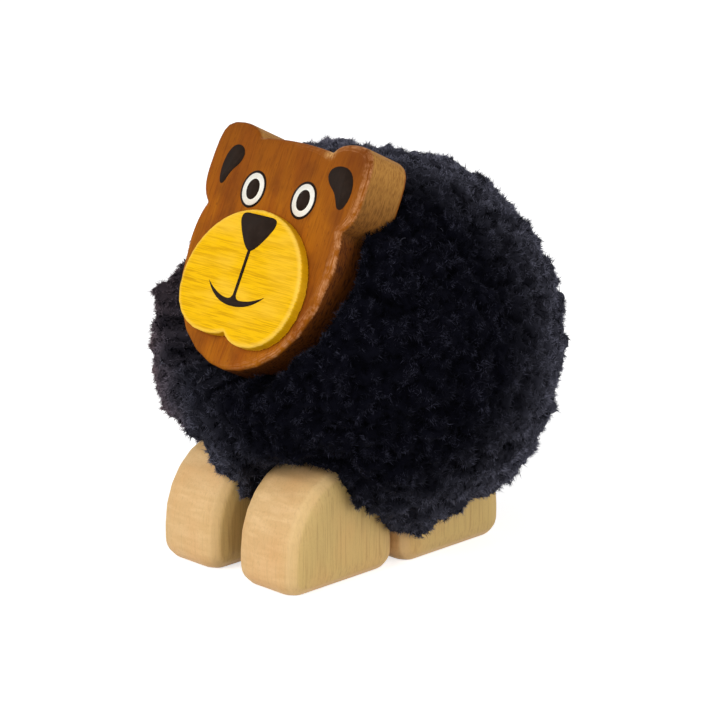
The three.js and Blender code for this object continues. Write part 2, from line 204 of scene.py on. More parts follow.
def new_material(name):
    """An empty material, its node tree, and the object coordinates to draw patterns in."""
    material = bpy.data.materials.new(name)
    material.use_nodes = True
    tree = material.node_tree
    tree.nodes.clear()
    place = add_node(tree, "TexCoord").outputs["Object"]
    return material, tree, place


def grain(tree, place, size, turn=0.0, detail=2.0, roughness=0.5, distortion=0.0):
    """A pattern of grains of this size in millimetres, turned about the x axis."""
    spot = add_node(tree, "Mapping", {"vector_type": "TEXTURE"}, {
        "Vector": place, "Rotation": (turn, 0.0, 0.0), "Scale": Vector(size) * MM,
    })
    return add_node(tree, "TexNoise", {}, {
        "Vector": spot.outputs["Vector"], "Scale": 1.0, "Detail": detail,
        "Roughness": roughness, "Distortion": distortion,
    }).outputs["Fac"]


def overlay(tree, tone, shade, mask, low=0.0, high=1.0, share=1.0):
    """The tone with a shade laid over it: none where the mask is low, up to this share where it is high."""
    amount = add_node(tree, "MapRange", {}, {
        "Value": mask, "From Min": low, "From Max": high, "To Max": share,
    })
    # A mix of colours has them at inputs 6 and 7, and gives the result at output 2
    return add_node(tree, "Mix", {"data_type": "RGBA"}, {
        "Factor": amount.outputs["Result"], 6: tone, 7: shade,
    }).outputs[2]


def head_material(sizes, colours):
    """Stained and varnished softwood: warm brown with fine upright grain, dark pores and rubbed edges."""
    material, tree, place = new_material("stained_softwood")
    turn = -sizes.head_tilt
    bands = grain(tree, place, (5, 9, 40), turn, distortion=0.6)
    smudges = grain(tree, place, (6, 6, 9), turn, detail=3.0)
    streaks = grain(tree, place, (0.5, 0.5, 8), turn, detail=4.0, roughness=0.6)
    pores = grain(tree, place, (0.35, 0.35, 1.6), turn)
    spot = add_node(tree, "SeparateXYZ", {}, {0: place})
    tone = overlay(tree, colours.stain_light, colours.stain, bands, 0.35, 0.7)
    tone = overlay(tree, tone, colours.stain_dark, smudges, 0.48, 0.7, 0.55)
    tone = overlay(tree, tone, colours.stain_dark, streaks, 0.48, 0.7, 0.5)
    tone = overlay(tree, tone, colours.stain_dark, pores, 0.62, 0.74, 0.55)
    # Painted shade: darker towards the brow, as the light falls off with height; the stain is also darker
    # towards the left temple
    tone = overlay(tree, tone, colours.stain_dark, spot.outputs["Z"], 84 * MM, 104 * MM, 0.6)
    tone = overlay(tree, tone, colours.stain_dark, spot.outputs["X"], 13 * MM, 24 * MM, 0.3)
    tone = saw_and_rub(tree, place, turn, tone, colours)
    bump = add_node(tree, "Bump", {}, {"Strength": 0.25, "Distance": 0.12 * MM, "Height": streaks})
    gloss = add_node(tree, "MapRange", {}, {
        "Value": streaks, "From Min": 0.3, "From Max": 0.7, "To Min": 0.5, "To Max": 0.65,
    })
    shader = add_node(tree, "BsdfPrincipled", {}, {
        "Base Color": tone, "Roughness": gloss.outputs["Result"],
        "IOR": 1.5, "Specular IOR Level": 0.05, "Normal": bump.outputs["Normal"],
    })
    add_node(tree, "OutputMaterial", {}, {"Surface": shader.outputs[0]})
    return material


def saw_and_rub(tree, place, turn, tone, colours):
    """The tone with sawn sides, painted shade low on the jaw, worn edges and bare corners at the ears."""
    side = add_node(tree, "Attribute", {"attribute_name": "side"}).outputs["Fac"]
    jaw = add_node(tree, "Attribute", {"attribute_name": "jaw"}).outputs["Fac"]
    bare = add_node(tree, "Attribute", {"attribute_name": "bare"}).outputs["Fac"]
    flecks = grain(tree, place, (0.45, 0.45, 1.8), turn, detail=4.0, roughness=0.65)
    sawn = overlay(tree, colours.stain_side, colours.stain_dark, flecks, 0.42, 0.66, 0.55)
    # Painted shade: the jaw sides darken towards the bottom, where the pile shades them, mottled with the
    # pile's black
    shaded_jaw = overlay(tree, colours.jaw_shade, colours.pile, flecks, 0.46, 0.62, 0.7)
    sawn = overlay(tree, sawn, shaded_jaw, jaw)
    tone = overlay(tree, tone, sawn, side, 0.6, 0.95)
    tone = wear_edges(tree, place, tone, colours.rubbed_wood)
    chipped = overlay(tree, tone, colours.bare_wood, flecks, 0.38, 0.58)
    return overlay(tree, tone, chipped, bare, 0.0, 0.6, 0.9)


def wear_edges(tree, place, tone, rubbed):
    """The tone with thin broken lines that follow the edge of the face, most on the bear's left."""
    edge = add_node(tree, "Attribute", {"attribute_name": "edge"}).outputs["Fac"]
    lines_across = 12.0
    lines_per_metre = 150.0
    across = add_node(tree, "Math", {"operation": "MULTIPLY"}, {0: edge, 1: lines_across})
    inward = add_node(tree, "CombineXYZ", {}, {"X": across.outputs[0]})
    along = add_node(tree, "VectorMath", {"operation": "MULTIPLY_ADD"}, {
        0: place, 1: [lines_per_metre] * 3, 2: inward.outputs[0],
    })
    lines = add_node(tree, "TexNoise", {}, {"Vector": along.outputs[0], "Scale": 1.0, "Detail": 4.0})
    patches = grain(tree, place, (2.2, 2.2, 2.2), detail=3.0, roughness=0.65)
    spot = add_node(tree, "SeparateXYZ", {}, {0: place})
    # The very edge is rubbed the most
    rub = add_node(tree, "Math", {"operation": "MULTIPLY_ADD"}, {
        0: edge, 1: 0.2, 2: lines.outputs["Fac"],
    })
    worn = overlay(tree, tone, rubbed, rub.outputs[0], 0.54, 0.7)
    worn = overlay(tree, tone, worn, patches, 0.4, 0.62)
    worn = overlay(tree, tone, worn, spot.outputs["X"], -4 * MM, 20 * MM)
    return overlay(tree, tone, worn, edge, 0.02, 0.6)


def muzzle_material(sizes, colours):
    """Yellow-stained plywood: level grain lines show through, and the cut rim is paler."""
    material, tree, place = new_material("yellow_stained_wood")
    turn = -sizes.head_tilt
    clouds = grain(tree, place, (12, 12, 6), turn)
    lines = grain(tree, place, (7, 7, 0.26), turn)
    ridges = grain(tree, place, (12, 12, 0.8), turn, distortion=0.3)
    edge = add_node(tree, "Attribute", {"attribute_name": "edge"}).outputs["Fac"]
    side = add_node(tree, "Attribute", {"attribute_name": "side"}).outputs["Fac"]
    tone = overlay(tree, colours.yellow, colours.yellow_rim, clouds, 0.45, 0.75, 0.3)
    # The lines fade out where the clouds are pale
    lined = overlay(tree, tone, colours.yellow_dark, lines, 0.48, 0.62)
    tone = overlay(tree, tone, lined, clouds, 0.86, 0.16)
    tone = overlay(tree, tone, colours.yellow_dark, ridges, 0.5, 0.68, 0.3)
    tone = overlay(tree, tone, colours.yellow_rim, edge, 0.2, 0.8, 0.7)
    tone = overlay(tree, tone, colours.yellow_dark, side, 0.8, 1.0, 0.7)
    bump = add_node(tree, "Bump", {}, {"Strength": 0.25, "Distance": 0.12 * MM, "Height": lines})
    shader = add_node(tree, "BsdfPrincipled", {}, {
        "Base Color": tone, "Roughness": 0.5, "IOR": 1.5, "Specular IOR Level": 0.04,
        "Normal": bump.outputs["Normal"],
    })
    add_node(tree, "OutputMaterial", {}, {"Surface": shader.outputs[0]})
    return material


def foot_material(colours):
    """Sanded rubberwood under thin varnish: pale tan, upright grain lines and small flecks."""
    material, tree, place = new_material("sanded_rubberwood")
    flame = grain(tree, place, (7, 7, 1.3), detail=3.0, distortion=0.4)
    clouds = grain(tree, place, (9, 9, 16))
    lines = grain(tree, place, (0.45, 0.45, 11), detail=4.0, roughness=0.6)
    flecks = grain(tree, place, (0.4, 0.4, 0.7), detail=3.0, roughness=0.6)
    side = add_node(tree, "Attribute", {"attribute_name": "side"}).outputs["Fac"]
    corner = add_node(tree, "Attribute", {"attribute_name": "corner"}).outputs["Fac"]
    front = overlay(tree, colours.foot_wood, colours.foot_figure_and_highlight, flame, 0.4, 0.7, 0.6)
    front = overlay(tree, front, colours.foot_flush, clouds, 0.35, 0.7, 0.4)
    cheek = overlay(tree, colours.foot_side, colours.foot_grain, lines, 0.48, 0.7, 0.6)
    cheek = overlay(tree, cheek, colours.foot_flush, clouds, 0.45, 0.75, 0.35)
    tone = overlay(tree, front, cheek, side)
    tone = overlay(tree, tone, colours.foot_grain, lines, 0.5, 0.75, 0.25)
    tone = overlay(tree, tone, colours.foot_grain, flecks, 0.54, 0.7, 0.25)
    # Painted highlight, partly wood rubbed paler, along the rounded corners
    tone = overlay(tree, tone, colours.foot_figure_and_highlight, corner, share=0.45)
    bump = add_node(tree, "Bump", {}, {"Strength": 0.1, "Distance": 0.1 * MM, "Height": flecks})
    shader = add_node(tree, "BsdfPrincipled", {}, {
        "Base Color": tone, "Roughness": 0.5, "IOR": 1.5, "Specular IOR Level": 0.2,
        "Normal": bump.outputs["Normal"],
    })
    add_node(tree, "OutputMaterial", {}, {"Surface": shader.outputs[0]})
    return material


def inner_material(colours):
    """Raw turned softwood: dull, pale, with plain upright grain."""
    material, tree, place = new_material("raw_softwood")
    lines = grain(tree, place, (1.2, 1.2, 18), detail=3.0)
    tone = overlay(tree, colours.core, colours.foot_grain, lines, 0.4, 0.7, 0.7)
    shader = add_node(tree, "BsdfPrincipled", {}, {"Base Color": tone, "Roughness": 0.7, "IOR": 1.5})
    add_node(tree, "OutputMaterial", {}, {"Surface": shader.outputs[0]})
    return material


def paint_material(name, coat, thin):
    """Brushed satin enamel: an even coat with faint brush clouds and a soft shine."""
    material, tree, place = new_material(name)
    clouds = grain(tree, place, (1.6, 1.6, 1.6), detail=4.0)
    stipple = grain(tree, place, (0.35, 0.35, 0.35))
    tone = overlay(tree, coat, thin, clouds, 0.45, 0.75, 0.4)
    bump = add_node(tree, "Bump", {}, {"Strength": 0.12, "Distance": 0.05 * MM, "Height": stipple})
    gloss = add_node(tree, "MapRange", {}, {
        "Value": clouds, "From Min": 0.3, "From Max": 0.7, "To Min": 0.45, "To Max": 0.6,
    })
    shader = add_node(tree, "BsdfPrincipled", {}, {
        "Base Color": tone, "Roughness": gloss.outputs["Result"],
        "IOR": 1.48, "Specular IOR Level": 0.04, "Normal": bump.outputs["Normal"],
    })
    add_node(tree, "OutputMaterial", {}, {"Surface": shader.outputs[0]})
    return material


def pile_material(colours):
    """Dyed black wool pile: painted shade darkens it in the creases and deep in the pile, painted
    highlights lighten the fibre ends towards the tops of clumps, and a lighter fuzz shows at the ball's
    rim.
    """
    material, tree, place = new_material("black_wool_pile")
    tip = add_node(tree, "Attribute", {"attribute_name": "tip"}).outputs["Fac"]
    left = add_node(tree, "SeparateXYZ", {}, {0: place}).outputs["X"]
    locks = grain(tree, place, (3, 3, 3), detail=4.0, roughness=0.6)
    frizz = grain(tree, place, (0.5, 0.5, 0.5), detail=3.0, roughness=0.6)
    # Painted shade: darkest deep in the pile and in the creases
    tone = overlay(tree, colours.deep_pile_shade, colours.pile, tip, 0.0, 0.3)
    # Painted highlight on the fibre ends towards the tops of clumps, in patches
    highlit_tone = overlay(tree, tone, colours.pile_end_highlight, locks, 0.4, 0.62)
    tone = overlay(tree, tone, highlit_tone, tip, 0.15, 0.75)
    # Painted light: the fibre ends on the bear's right take a warm, browner tint
    warm_lit_tone = overlay(tree, tone, colours.warm_light_on_tips, left, -8 * MM, -34 * MM)
    tone = overlay(tree, tone, warm_lit_tone, tip, 0.1, 0.8)
    bump = add_node(tree, "Bump", {}, {"Strength": 0.8, "Distance": 0.4 * MM, "Height": frizz})
    wool = add_node(tree, "BsdfPrincipled", {}, {
        "Base Color": tone, "Roughness": 0.9, "IOR": 1.5, "Specular IOR Level": 0.05,
        "Normal": bump.outputs["Normal"],
    })
    fuzz = pile_fuzz(tree, place, tip, left, colours)
    both = add_node(tree, "AddShader", {}, {0: wool.outputs[0], 1: fuzz})
    add_node(tree, "OutputMaterial", {}, {"Surface": both.outputs[0]})
    return material


def pile_fuzz(tree, place, tip, left, colours):
    """Sheen of the finest fibres: it shows on the clumps where the ball as a whole turns from the eye."""
    low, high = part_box("pile_coat")
    spoke = add_node(tree, "VectorMath", {"operation": "SUBTRACT"}, {0: place, 1: (low + high) / 2})
    outward = add_node(tree, "VectorMath", {"operation": "NORMALIZE"}, {0: spoke.outputs[0]}).outputs[0]
    turned = add_node(tree, "LayerWeight", {}, {"Blend": 0.5, "Normal": outward}).outputs["Facing"]
    # Painted light: the fuzz is warmer on the bear's right
    haze = overlay(tree, colours.pile_fuzz, colours.warm_light_on_fuzz, left, -8 * MM, -34 * MM)
    haze = overlay(tree, colours.deep_pile_shade, haze, turned, 0.3, 0.66)
    haze = overlay(tree, colours.deep_pile_shade, haze, tip, 0.0, 0.7)
    return add_node(tree, "BsdfSheen", {}, {
        "Color": haze, "Roughness": 0.8, "Normal": outward,
    }).outputs[0]


def lint_material(colours):
    """Pale loose fibres: dull grey, uneven along their length."""
    material, tree, place = new_material("grey_lint")
    patches = grain(tree, place, (1, 1, 1))
    tone = overlay(tree, colours.pile_end_highlight, colours.lint, patches, 0.35, 0.65)
    shader = add_node(tree, "BsdfPrincipled", {}, {"Base Color": tone, "Roughness": 0.8, "IOR": 1.5})
    add_node(tree, "OutputMaterial", {}, {"Surface": shader.outputs[0]})
    return material


def add_piece(name, mesh, material, slot, *nodes):
    """Puts a finished mesh into the scene as a piece that stands for CAD nodes."""
    piece = bpy.data.objects.new(name, mesh)
    bpy.context.scene.collection.objects.link(piece)
    mesh.materials.clear()
    mesh.materials.append(material)
    mesh.shade_smooth()
    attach(piece, BODY)
    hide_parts(*nodes)


def merged_copy(node):
    """The CAD node's shape as a bmesh, with its loose triangles joined."""
    shape = bmesh.new()
    shape.from_mesh(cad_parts[node].data)
    bmesh.ops.remove_doubles(shape, verts=shape.verts, dist=SEAM)
    return shape


def sanded_mesh(shape, grid, rounds):
    """The shape on an even grid, smoothed as sanding leaves it."""
    mesh = bpy.data.meshes.new("blank")
    shape.to_mesh(mesh)
    shape.free()
    blank = bpy.data.objects.new("blank", mesh)
    bpy.context.scene.collection.objects.link(blank)
    even = blank.modifiers.new("Even grid", "REMESH")
    even.mode = "VOXEL"
    even.voxel_size = grid
    sanding = blank.modifiers.new("Sanding", "SMOOTH")
    sanding.iterations = rounds
    depsgraph = bpy.context.evaluated_depsgraph_get()
    finished = bpy.data.meshes.new_from_object(blank.evaluated_get(depsgraph))
    bpy.data.objects.remove(blank)
    bpy.data.meshes.remove(mesh)
    return finished


def store(mesh, name, values):
    """Keeps one number per vertex, for the material to read."""
    layer = mesh.attributes.new(name, "FLOAT", "POINT")
    layer.data.foreach_set("value", values)


def mark_face_edges(mesh, face, reach):
    """Stores four marks: nearness to the front edge within this reach, sides, painted shade low on the jaw,
    and bare corners.
    """
    out = face.to_3x3() @ Vector((0.0, 0.0, 1.0))
    seen = [face.inverted() @ vert.co for vert in mesh.vertices]
    facing = [vert.normal.dot(out) for vert in mesh.vertices]
    front = max(point.z for point in seen)
    rim = [vert.co for vert, point, turn in zip(mesh.vertices, seen, facing)
           if turn < 0.3 and point.z > front - RIM_DEPTH]
    tree = KDTree(len(rim))
    for index, point in enumerate(rim):
        tree.insert(point, index)
    tree.balance()
    away = [tree.find(vert.co)[2] for vert in mesh.vertices]
    store(mesh, "edge", [max(0.0, 1.0 - distance / reach) if turn > 0.2 else 0.0
                         for distance, turn in zip(away, facing)])
    store(mesh, "side", [1.0 - abs(turn) for turn in facing])
    # How much painted shade darkens the sides here, the most at the bottom of the jaw
    store(mesh, "jaw", [min(1.0, max(0.0, (JAW_SHADE_TOP - point.y) / JAW_SHADE_FADE)) for point in seen])
    corners = [Vector(corner) * MM for corner in BARE_CORNERS]
    to_corner = [min((vert.co - corner).length for corner in corners) for vert in mesh.vertices]
    store(mesh, "bare", [max(0.0, 1.0 - distance / BARE_REACH) for distance in to_corner])


def face_axes():
    """Matrix of the face: x across, y up the face and z out of it, at the front of the head board."""
    tilt = Matrix.Rotation(math.radians(90) - bpy.context.scene.bear_sizes.head_tilt, 4, "X")
    low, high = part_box("head_board")
    turned = [tilt.inverted() @ vert.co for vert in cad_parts["head_board"].data.vertices]
    front = max(point.z for point in turned)
    middle = tilt.inverted() @ ((low + high) / 2)
    return tilt @ Matrix.Translation((0.0, middle.y, front))


def face_box(node, face):
    """Lowest and highest corner of a CAD node, measured along the axes of the face."""
    points = [face.inverted() @ vert.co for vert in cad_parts[node].data.vertices]
    low = Vector(min(point[i] for point in points) for i in range(3))
    high = Vector(max(point[i] for point in points) for i in range(3))
    return low, high


def painted_oval(node, face, height):
    """A flat oval of paint as wide and tall as the CAD node, this high above the face."""
    low, high = face_box(node, face)
    middle = (low + high) / 2
    place = face @ Matrix.Translation((middle.x, middle.y, PAINT_GAP + height / 2))
    place = place @ Matrix.Diagonal(((high.x - low.x) / 2, (high.y - low.y) / 2, height, 1.0))
    shape = bmesh.new()
    bmesh.ops.create_cone(shape, cap_ends=True, segments=72, radius1=1.0, radius2=1.0, depth=1.0,
                          matrix=place)
    return finished_mesh(shape, node)


def finished_mesh(shape, name):
    """The bmesh as a mesh whose faces point outwards."""
    bmesh.ops.recalc_face_normals(shape, faces=shape.faces)
    mesh = bpy.data.meshes.new(name)
    shape.to_mesh(mesh)
    shape.free()
    return mesh


def pressed_film(node, face, ground, sizes):
    """A CAD paint film pressed thin onto the ground at this height; the mouth's line meets the nose."""
    shape = merged_copy(node)
    low, high = face_box(node, face)
    squeeze = sizes.paint_film / (high.z - low.z)
    shape.transform(face.inverted())
    bmesh.ops.scale(shape, verts=shape.verts, vec=(1.0, 1.0, squeeze))
    rise = ground + PAINT_GAP - low.z * squeeze
    bmesh.ops.translate(shape, verts=shape.verts, vec=(0.0, 0.0, rise))
    # The top end of the mouth's line is drawn up under the nose
    top = [vert for vert in shape.verts if node == "mouth" and vert.co.y > high.y - 0.05 * MM]
    bmesh.ops.translate(shape, verts=top, vec=(0.0, 2 * sizes.glue_line, 0.0))
    shape.transform(face)
    return finished_mesh(shape, node)


class BEAR_OT_head_board(bpy.types.Operator):
    """Adds the stained head board with its rubbed edges"""

    bl_idname = "bear.head_board"
    bl_label = "Head Board"

    def execute(self, context):
        sizes, colours = context.scene.bear_sizes, context.scene.bear_colours
        mesh = sanded_mesh(merged_copy("head_board"), sizes.board_grid, rounds=2)
        mark_face_edges(mesh, face_axes(), sizes.worn_edge)
        material = head_material(sizes, colours)
        add_piece("stained_head_board", mesh, material, "stained_wood", "head_board")
        return {"FINISHED"}


class BEAR_OT_muzzle(bpy.types.Operator):
    """Adds the yellow muzzle plate"""

    bl_idname = "bear.muzzle"
    bl_label = "Muzzle Plate"

    def execute(self, context):
        sizes, colours = context.scene.bear_sizes, context.scene.bear_colours
        face = face_axes()
        shape = merged_copy("muzzle_plate")
        # The back of the plate moves through the glue to the board
        back = [vert for vert in shape.verts if (face.inverted() @ vert.co).z < 2 * sizes.glue_line]
        bmesh.ops.translate(shape, verts=back, vec=face.to_3x3() @ Vector((0.0, 0.0, -sizes.glue_line)))
        mesh = sanded_mesh(shape, sizes.plate_grid, rounds=2)
        mark_face_edges(mesh, face, 0.5 * sizes.worn_edge)
        material = muzzle_material(sizes, colours)
        add_piece("yellow_muzzle_plate", mesh, material, "yellow_wood", "muzzle_plate")
        return {"FINISHED"}


class BEAR_OT_face_paint(bpy.types.Operator):
    """Adds the painted eyes, ear marks, nose and mouth"""

    bl_idname = "bear.face_paint"
    bl_label = "Face Paint"

    def execute(self, context):
        sizes, colours = context.scene.bear_sizes, context.scene.bear_colours
        face = face_axes()
        dark = paint_material("dark_enamel", colours.dark_paint, colours.dark_thin)
        white = paint_material("white_enamel", colours.white_paint, colours.white_thin)
        for side in ("left", "right"):
            layers = [("eye_outline", dark, "dark_paint"), ("eye_white", white, "white_paint"),
                      ("eye_pupil", dark, "dark_paint")]
            for layer, (part, material, slot) in enumerate(layers, start=1):
                node = f"{part}_{side}"
                mesh = painted_oval(node, face, layer * sizes.paint_film)
                add_piece("painted_" + node, mesh, material, slot, node)
        plate_front = face_box("muzzle_plate", face)[1].z
        for node in FACE_MARKS:
            ground = plate_front if node in ("nose", "mouth") else 0.0
            mesh = pressed_film(node, face, ground, sizes)
            add_piece("painted_" + node, mesh, dark, "dark_paint", node)
        return {"FINISHED"}


class BEAR_OT_feet(bpy.types.Operator):
    """Adds the four sanded feet"""

    bl_idname = "bear.feet"
    bl_label = "Feet"

    def execute(self, context):
        sizes, colours = context.scene.bear_sizes, context.scene.bear_colours
        material = foot_material(colours)
        for node in FEET:
            mesh = sanded_mesh(merged_copy(node), sizes.foot_grid, rounds=6)
            # How far each spot faces sideways, and how near it is to a rounded corner, where a highlight is
            # painted
            store(mesh, "side", [abs(vert.normal.x) ** 1.5 for vert in mesh.vertices])
            store(mesh, "corner", [max(0.0, 1.0 - abs(abs(vert.normal.x) - 0.6) / 0.3)
                                   for vert in mesh.vertices])
            add_piece("sanded_" + node, mesh, material, "pale_wood", node)
        return {"FINISHED"}


class BEAR_OT_inner_wood(bpy.types.Operator):
    """Gives the core and the dowels inside the ball their raw wood"""

    bl_idname = "bear.inner_wood"
    bl_label = "Core and Dowels"

    def execute(self, context):
        material = inner_material(context.scene.bear_colours)
        for node in INNER_WOOD:
            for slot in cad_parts[node].material_slots:
                slot.material = material
        return {"FINISHED"}


def search_tree(node):
    """A tree of the CAD node's faces, for finding what is near."""
    shape = merged_copy(node)
    tree = BVHTree.FromBMesh(shape)
    shape.free()
    return tree


def inside_wood(trees, point):
    """True where the point lies in the head board or a foot."""
    for tree in trees:
        spot, normal, _, _ = tree.find_nearest(point, WOOD_REACH)
        if spot is not None and (point - spot).dot(normal) < 0.0:
            return True
    return False


def lump(size, point):
    """Height of soft clumps of this size here: 1 on top of one, 0 in the creases between them."""
    # Stirred by up to half a clump, so that no two clumps are alike
    stirred = point + noise.noise_vector(point / (2 * size)) * 0.5 * size
    nearest = noise.voronoi(stirred / size)[0][0]
    return max(0.0, 1.0 - (nearest / 0.8) ** 2)


def swell(sizes, point):
    """Height of the pile here, from 0 in a deep crease to 1: large clumps with small curls on them."""
    return 0.55 * lump(sizes.lump_size, point) + 0.45 * lump(sizes.nub_size, point)


def even_ball(cells):
    """A cube cut into cells x cells squares a side and blown up into a ball of radius 1.

    The sides are made one by one, so that the squares come in the same order each run.
    """
    shape = bmesh.new()
    for axis, angle in (("X", 0), ("X", 90), ("X", 180), ("X", 270), ("Y", 90), ("Y", 270)):
        side = Matrix.Rotation(math.radians(angle), 4, axis) @ Matrix.Translation((0.0, 0.0, 1.0))
        bmesh.ops.create_grid(shape, x_segments=cells, y_segments=cells, size=1.0, matrix=side)
    bmesh.ops.remove_doubles(shape, verts=shape.verts, dist=0.1 / cells)
    for vert in shape.verts:
        vert.co = Vector(math.tan(part * math.pi / 4) for part in vert.co).normalized()
    return shape


def pressed(point):
    """How far the pile is pushed in at this point, or below zero, how far it hangs out."""
    depth = 0.0
    for place, reach, push in PRESSES:
        near = max(0.0, 1.0 - (point / MM - Vector(place)).length_squared / reach ** 2)
        depth += push * MM * near * near
    return depth


def pile_ground(sizes):
    """The ground of the pile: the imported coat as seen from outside, with soft clumps on it."""
    low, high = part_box("pile_coat")
    middle = (low + high) / 2
    outside = (high - low).length
    coat = search_tree("pile_coat")
    shape = even_ball(GROUND_CELLS)
    heights = shape.verts.layers.float.new("tip")
    for vert in shape.verts:
        way = vert.co.copy()
        spot, _, _, _ = coat.ray_cast(middle + way * outside, -way, outside - sizes.hollow)
        height = swell(sizes, middle + way * high.x)
        depth = sizes.lump_height * (CREASE - height)
        depth += pressed(middle + way * high.x)
        vert.co = middle + way * sizes.hollow if spot is None else spot - way * depth
        # Painted shade: the ground is darkest in the creases, and stays dark even on top of a clump
        vert[heights] = 0.2 * height
    bmesh.ops.smooth_vert(shape, verts=shape.verts, factor=0.5,
                          use_axis_x=True, use_axis_y=True, use_axis_z=True)
    bmesh.ops.recalc_face_normals(shape, faces=shape.faces)
    return shape


def fleece_tuft(sizes, rng, tone, fibres=7):
    """One tuft rooted at the origin: thin locks that rise along z, lean along x and end in this tone."""
    shape = bmesh.new()
    heights = shape.verts.layers.float.new("tip")
    for index in range(fibres):
        around = index * GOLDEN_ANGLE + rng.uniform(-0.6, 0.6)
        out = Vector((math.cos(around), math.sin(around), 0.0))
        root = out * sizes.tuft_spread * math.sqrt(rng.random()) - Vector((0.0, 0.0, TUFT_ROOT))
        lean = math.radians(rng.uniform(*LOCK_LEAN))
        stray = rng.uniform(-1.0, 1.0)
        forward = Vector((math.cos(stray), math.sin(stray), 0.0))
        heading = forward * math.sin(lean) + Vector((0.0, 0.0, math.cos(lean)))
        reach = sizes.fibre_length * rng.uniform(0.6, 1.2)
        turn = heading.to_track_quat("Z", "Y").to_matrix().to_4x4()
        place = Matrix.Translation(root) @ turn @ Matrix.Translation((0.0, 0.0, reach / 2))
        spike = bmesh.ops.create_cone(shape, cap_ends=True, segments=3, radius1=sizes.fibre_width / 2,
                                      radius2=0.0, depth=reach, matrix=place)
        # Painted shade at the lock's root, and the tuft's painted highlight towards its end
        for vert in spike["verts"]:
            vert[heights] = tone * (vert.co - root).length / sizes.fibre_length
    bmesh.ops.remove_doubles(shape, verts=shape.verts, dist=SEAM)
    return finished_mesh(shape, "fleece_tuft")


def lint_fibre(sizes, rng, steps=5):
    """One loose pale fibre: a three-sided tube that curls over the origin."""
    shape = bmesh.new()
    heading = Vector((1.0, 0.0, 0.4)).normalized()
    axis = (rng.uniform(-0.4, 0.4), 1.0, rng.uniform(-2.0, 2.0))
    turn = Quaternion(axis, math.radians(rng.uniform(8, 22))).to_matrix()
    centre = Vector((-sizes.lint_length / 2, 0.0, 0.0))
    angles = (0.0, math.tau / 3, -math.tau / 3)
    corners = [Vector((math.cos(angle), math.sin(angle), 0.0)) for angle in angles]
    spokes = [heading.to_track_quat("Z", "Y") @ corner * sizes.lint_width / 2 for corner in corners]
    rings = []
    for _ in range(steps + 1):
        rings.append([shape.verts.new(centre + spoke) for spoke in spokes])
        spokes = [turn @ spoke for spoke in spokes]
        heading = turn @ heading
        centre = centre + heading * sizes.lint_length / steps
    for ring, after in zip(rings, rings[1:]):
        for index in range(3):
            shape.faces.new((ring[index - 1], ring[index], after[index], after[index - 1]))
    shape.faces.new(rings[0])
    shape.faces.new(rings[-1])
    return finished_mesh(shape, "lint_fibre")


def sector_name(way):
    """Name of the eighth of the ball that a direction points into."""
    parts = ["front" if way.y < 0 else "back", "left" if way.x > 0 else "right",
             "upper" if way.z > 0 else "lower"]
    return "_".join(parts)


def spread_over(ground, middle, hollow, density, rng):
    """Points spread over the ground at this density, off the wood and the hollow, with their normals."""
    wood = [search_tree(node) for node in ["head_board"] + FEET]
    for face in ground.faces:
        for _ in range(int(face.calc_area() * density + rng.random())):
            first, second, third, fourth = [corner.co for corner in face.verts]
            across, along = rng.random(), rng.random()
            root = first.lerp(second, across).lerp(fourth.lerp(third, across), along)
            # The rim of the hollow stays bare too
            if (root - middle).length > 1.1 * hollow and not inside_wood(wood, root):
                yield root, face.normal


def plant(shape, mesh, root, up, spin, size):
    """Adds a copy of the mesh to the bmesh, stood on its root along up."""
    turn = up.to_track_quat("Z", "Y").to_matrix().to_4x4() @ Matrix.Rotation(spin, 4, "Z")
    place = Matrix.Translation(root) @ turn @ Matrix.Scale(size, 4)
    mesh.transform(place)
    shape.from_mesh(mesh)
    mesh.transform(place.inverted())


def plant_fleece(sizes, ground, middle):
    """The tufts all over the ground, as one bmesh for each eighth of the ball."""
    rng = random.Random(FLEECE_SEED)
    lightest = TUFT_TONES - 1
    variants = [fleece_tuft(sizes, rng, tone / lightest) for tone in range(TUFT_TONES)]
    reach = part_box("pile_coat")[1].x
    sectors = {}
    for root, normal in spread_over(ground, middle, sizes.hollow, sizes.tuft_density, rng):
        way = (root - middle).normalized()
        up = (normal + RUFFLE * noise.noise_vector(root / sizes.nub_size)).normalized()
        sector = sector_name(way)
        if sector not in sectors:
            sectors[sector] = bmesh.new()
        height = swell(sizes, middle + way * reach)
        # Painted highlight: tufts higher on a clump get lighter ends
        tone = HIGHLIGHT_CONTRAST * height - HIGHLIGHT_START + rng.uniform(-0.3, 0.3)
        tuft = variants[round(lightest * min(1.0, max(0.0, tone)))]
        spin = COMBING * noise.noise(root / sizes.lump_size) + rng.uniform(-0.6, 0.6)
        plant(sectors[sector], tuft, root, up, spin, rng.uniform(0.8, 1.2))
    return sectors


def plant_lint(sizes, ground, middle):
    """The loose fibres that lie on the pile, as one mesh."""
    rng = random.Random(LINT_SEED)
    variants = [lint_fibre(sizes, rng) for _ in range(LINT_KINDS)]
    shape = bmesh.new()
    for root, normal in spread_over(ground, middle, sizes.hollow, sizes.lint_density, rng):
        lift = normal * rng.uniform(0.8, 1.2) * MM
        fibre = rng.choice(variants)
        spin = rng.uniform(-LINT_SPIN, LINT_SPIN)
        plant(shape, fibre, root + lift, normal, spin, rng.uniform(0.4, 1.2))
    return finished_mesh(shape, "loose_lint")


